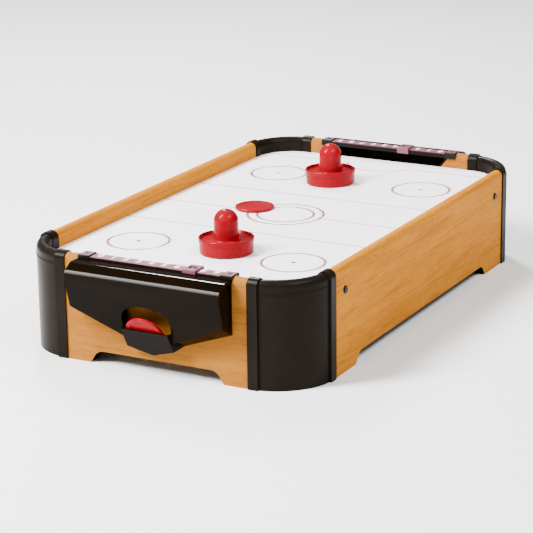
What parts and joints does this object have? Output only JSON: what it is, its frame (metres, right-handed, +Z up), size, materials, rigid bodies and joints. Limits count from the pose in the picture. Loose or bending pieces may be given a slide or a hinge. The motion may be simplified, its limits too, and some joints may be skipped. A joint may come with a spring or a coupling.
{
  "type": "tabletop air hockey table",
  "caption": "Tabletop air hockey game: wood-look frame with black corner posts, white perforated field, goal hoods with puck trays, score rails, pushers and pucks.",
  "frame": {"origin": "on the ground under the middle of the table", "axes": "+Z up, X across the width, Y along the length, near goal at -Y"},
  "size_m": [0.3056, 0.5548, 0.1266],
  "materials": {
    "wood_wrap": "oak-grain wrap on fibreboard, satin",
    "corner_plastic": "black, satin, finely textured",
    "field_film": "white printed film on thin fibreboard, air holes",
    "raw_board": "raw fibreboard",
    "gloss_black": "black, high gloss",
    "rail_plastic": "black, satin",
    "rail_print": "dusty mauve, satin",
    "screw_steel": "black coated steel",
    "red_plastic": "red, gloss",
    "felt": "dark felt",
    "black_moulding": "black, fine texture",
    "impeller_plastic": "white, satin",
    "motor_steel": "plated steel",
    "cell_jacket": "plain printed jacket",
    "contact_metal": "plated spring steel",
    "lead_red": "red insulation",
    "lead_black": "black insulation"
  },
  "bodies": {
    "table": {"battery_box": "black_moulding", "battery_box_screws": "screw_steel", "battery_cells": "cell_jacket", "battery_contacts": "contact_metal", "bottom_panel": "raw_board", "corner_post_far_left": "corner_plastic", "corner_post_far_right": "corner_plastic", "corner_post_near_left": "corner_plastic", "corner_post_near_right": "corner_plastic", "end_board_far": "wood_wrap", "end_board_near": "wood_wrap", "fan_frame": "black_moulding", "fan_grille": "black_moulding", "fan_motor": "motor_steel", "field_ledge_far": "raw_board", "field_ledge_left": "raw_board", "field_ledge_near": "raw_board", "field_ledge_right": "raw_board", "goal_hood_far": "gloss_black", "goal_hood_near": "gloss_black", "goal_liner_far": "gloss_black", "goal_liner_near": "gloss_black", "grille_screws": "screw_steel", "hood_screws_far": "screw_steel", "hood_screws_near": "screw_steel", "lead_black": "lead_black", "lead_red": "lead_red", "panel_ledge_far": "raw_board", "panel_ledge_left": "raw_board", "panel_ledge_near": "raw_board", "panel_ledge_right": "raw_board", "panel_screws": "screw_steel", "playfield": "field_film", "puck_tray_far": "gloss_black", "puck_tray_near": "gloss_black", "rail_screws_far": "screw_steel", "rail_screws_near": "screw_steel", "score_rail_far": "rail_plastic", "score_rail_near": "rail_plastic", "score_strip_far": "rail_print", "score_strip_near": "rail_print", "side_board_left": "wood_wrap", "side_board_right": "wood_wrap", "side_board_screws": "screw_steel", "support_blocks": "raw_board", "switch_housing": "black_moulding"},
    "score_slider_near": {"score_slider_near": "rail_print"},
    "score_slider_far": {"score_slider_far": "rail_print"},
    "pusher_near": {"pusher_near": "red_plastic", "pusher_felt_near": "felt"},
    "pusher_far": {"pusher_far": "red_plastic", "pusher_felt_far": "felt"},
    "puck_on_field": {"puck_on_field": "red_plastic"},
    "puck_in_tray": {"puck_in_tray": "red_plastic"},
    "fan": {"fan_impeller": "impeller_plastic", "motor_shaft": "motor_steel"},
    "battery_door": {"battery_door": "black_moulding"},
    "switch_lever": {"switch_lever": "black_moulding"}
  },
  "joints": [
    {"name": "score_slide_near", "type": "slide", "parent": "table", "child": "score_slider_near", "axis": [1, 0, 0], "range_m": [-0.0967, 0.0233]},
    {"name": "score_slide_far", "type": "slide", "parent": "table", "child": "score_slider_far", "axis": [1, 0, 0], "range_m": [-0.079, 0.041]},
    {"name": "pusher_near_glide", "type": "slide", "parent": "table", "child": "pusher_near", "axis": [0, 1, 0], "range_m": [-0.0715, 0.0905]},
    {"name": "pusher_far_glide", "type": "slide", "parent": "table", "child": "pusher_far", "axis": [1, 0, 0], "range_m": [-0.095, 0.127]},
    {"name": "puck_glide", "type": "slide", "parent": "table", "child": "puck_on_field", "axis": [1, 0, 0], "range_m": [-0.0795, 0.1565]},
    {"name": "scored_puck_lift", "type": "slide", "parent": "table", "child": "puck_in_tray", "axis": [0, -0.4695, 0.8829], "range_m": [0, 0.05]},
    {"name": "fan_spin", "type": "hinge", "parent": "table", "child": "fan", "pos_m": [0, -0.06, 0.024], "axis": [0, 0, 1], "continuous": true},
    {"name": "battery_door_slide", "type": "slide", "parent": "table", "child": "battery_door", "axis": [0, 1, 0], "range_m": [0, 0.065]},
    {"name": "switch_slide", "type": "slide", "parent": "table", "child": "switch_lever", "axis": [1, 0, 0], "range_m": [0, 0.0044]}
  ]
}
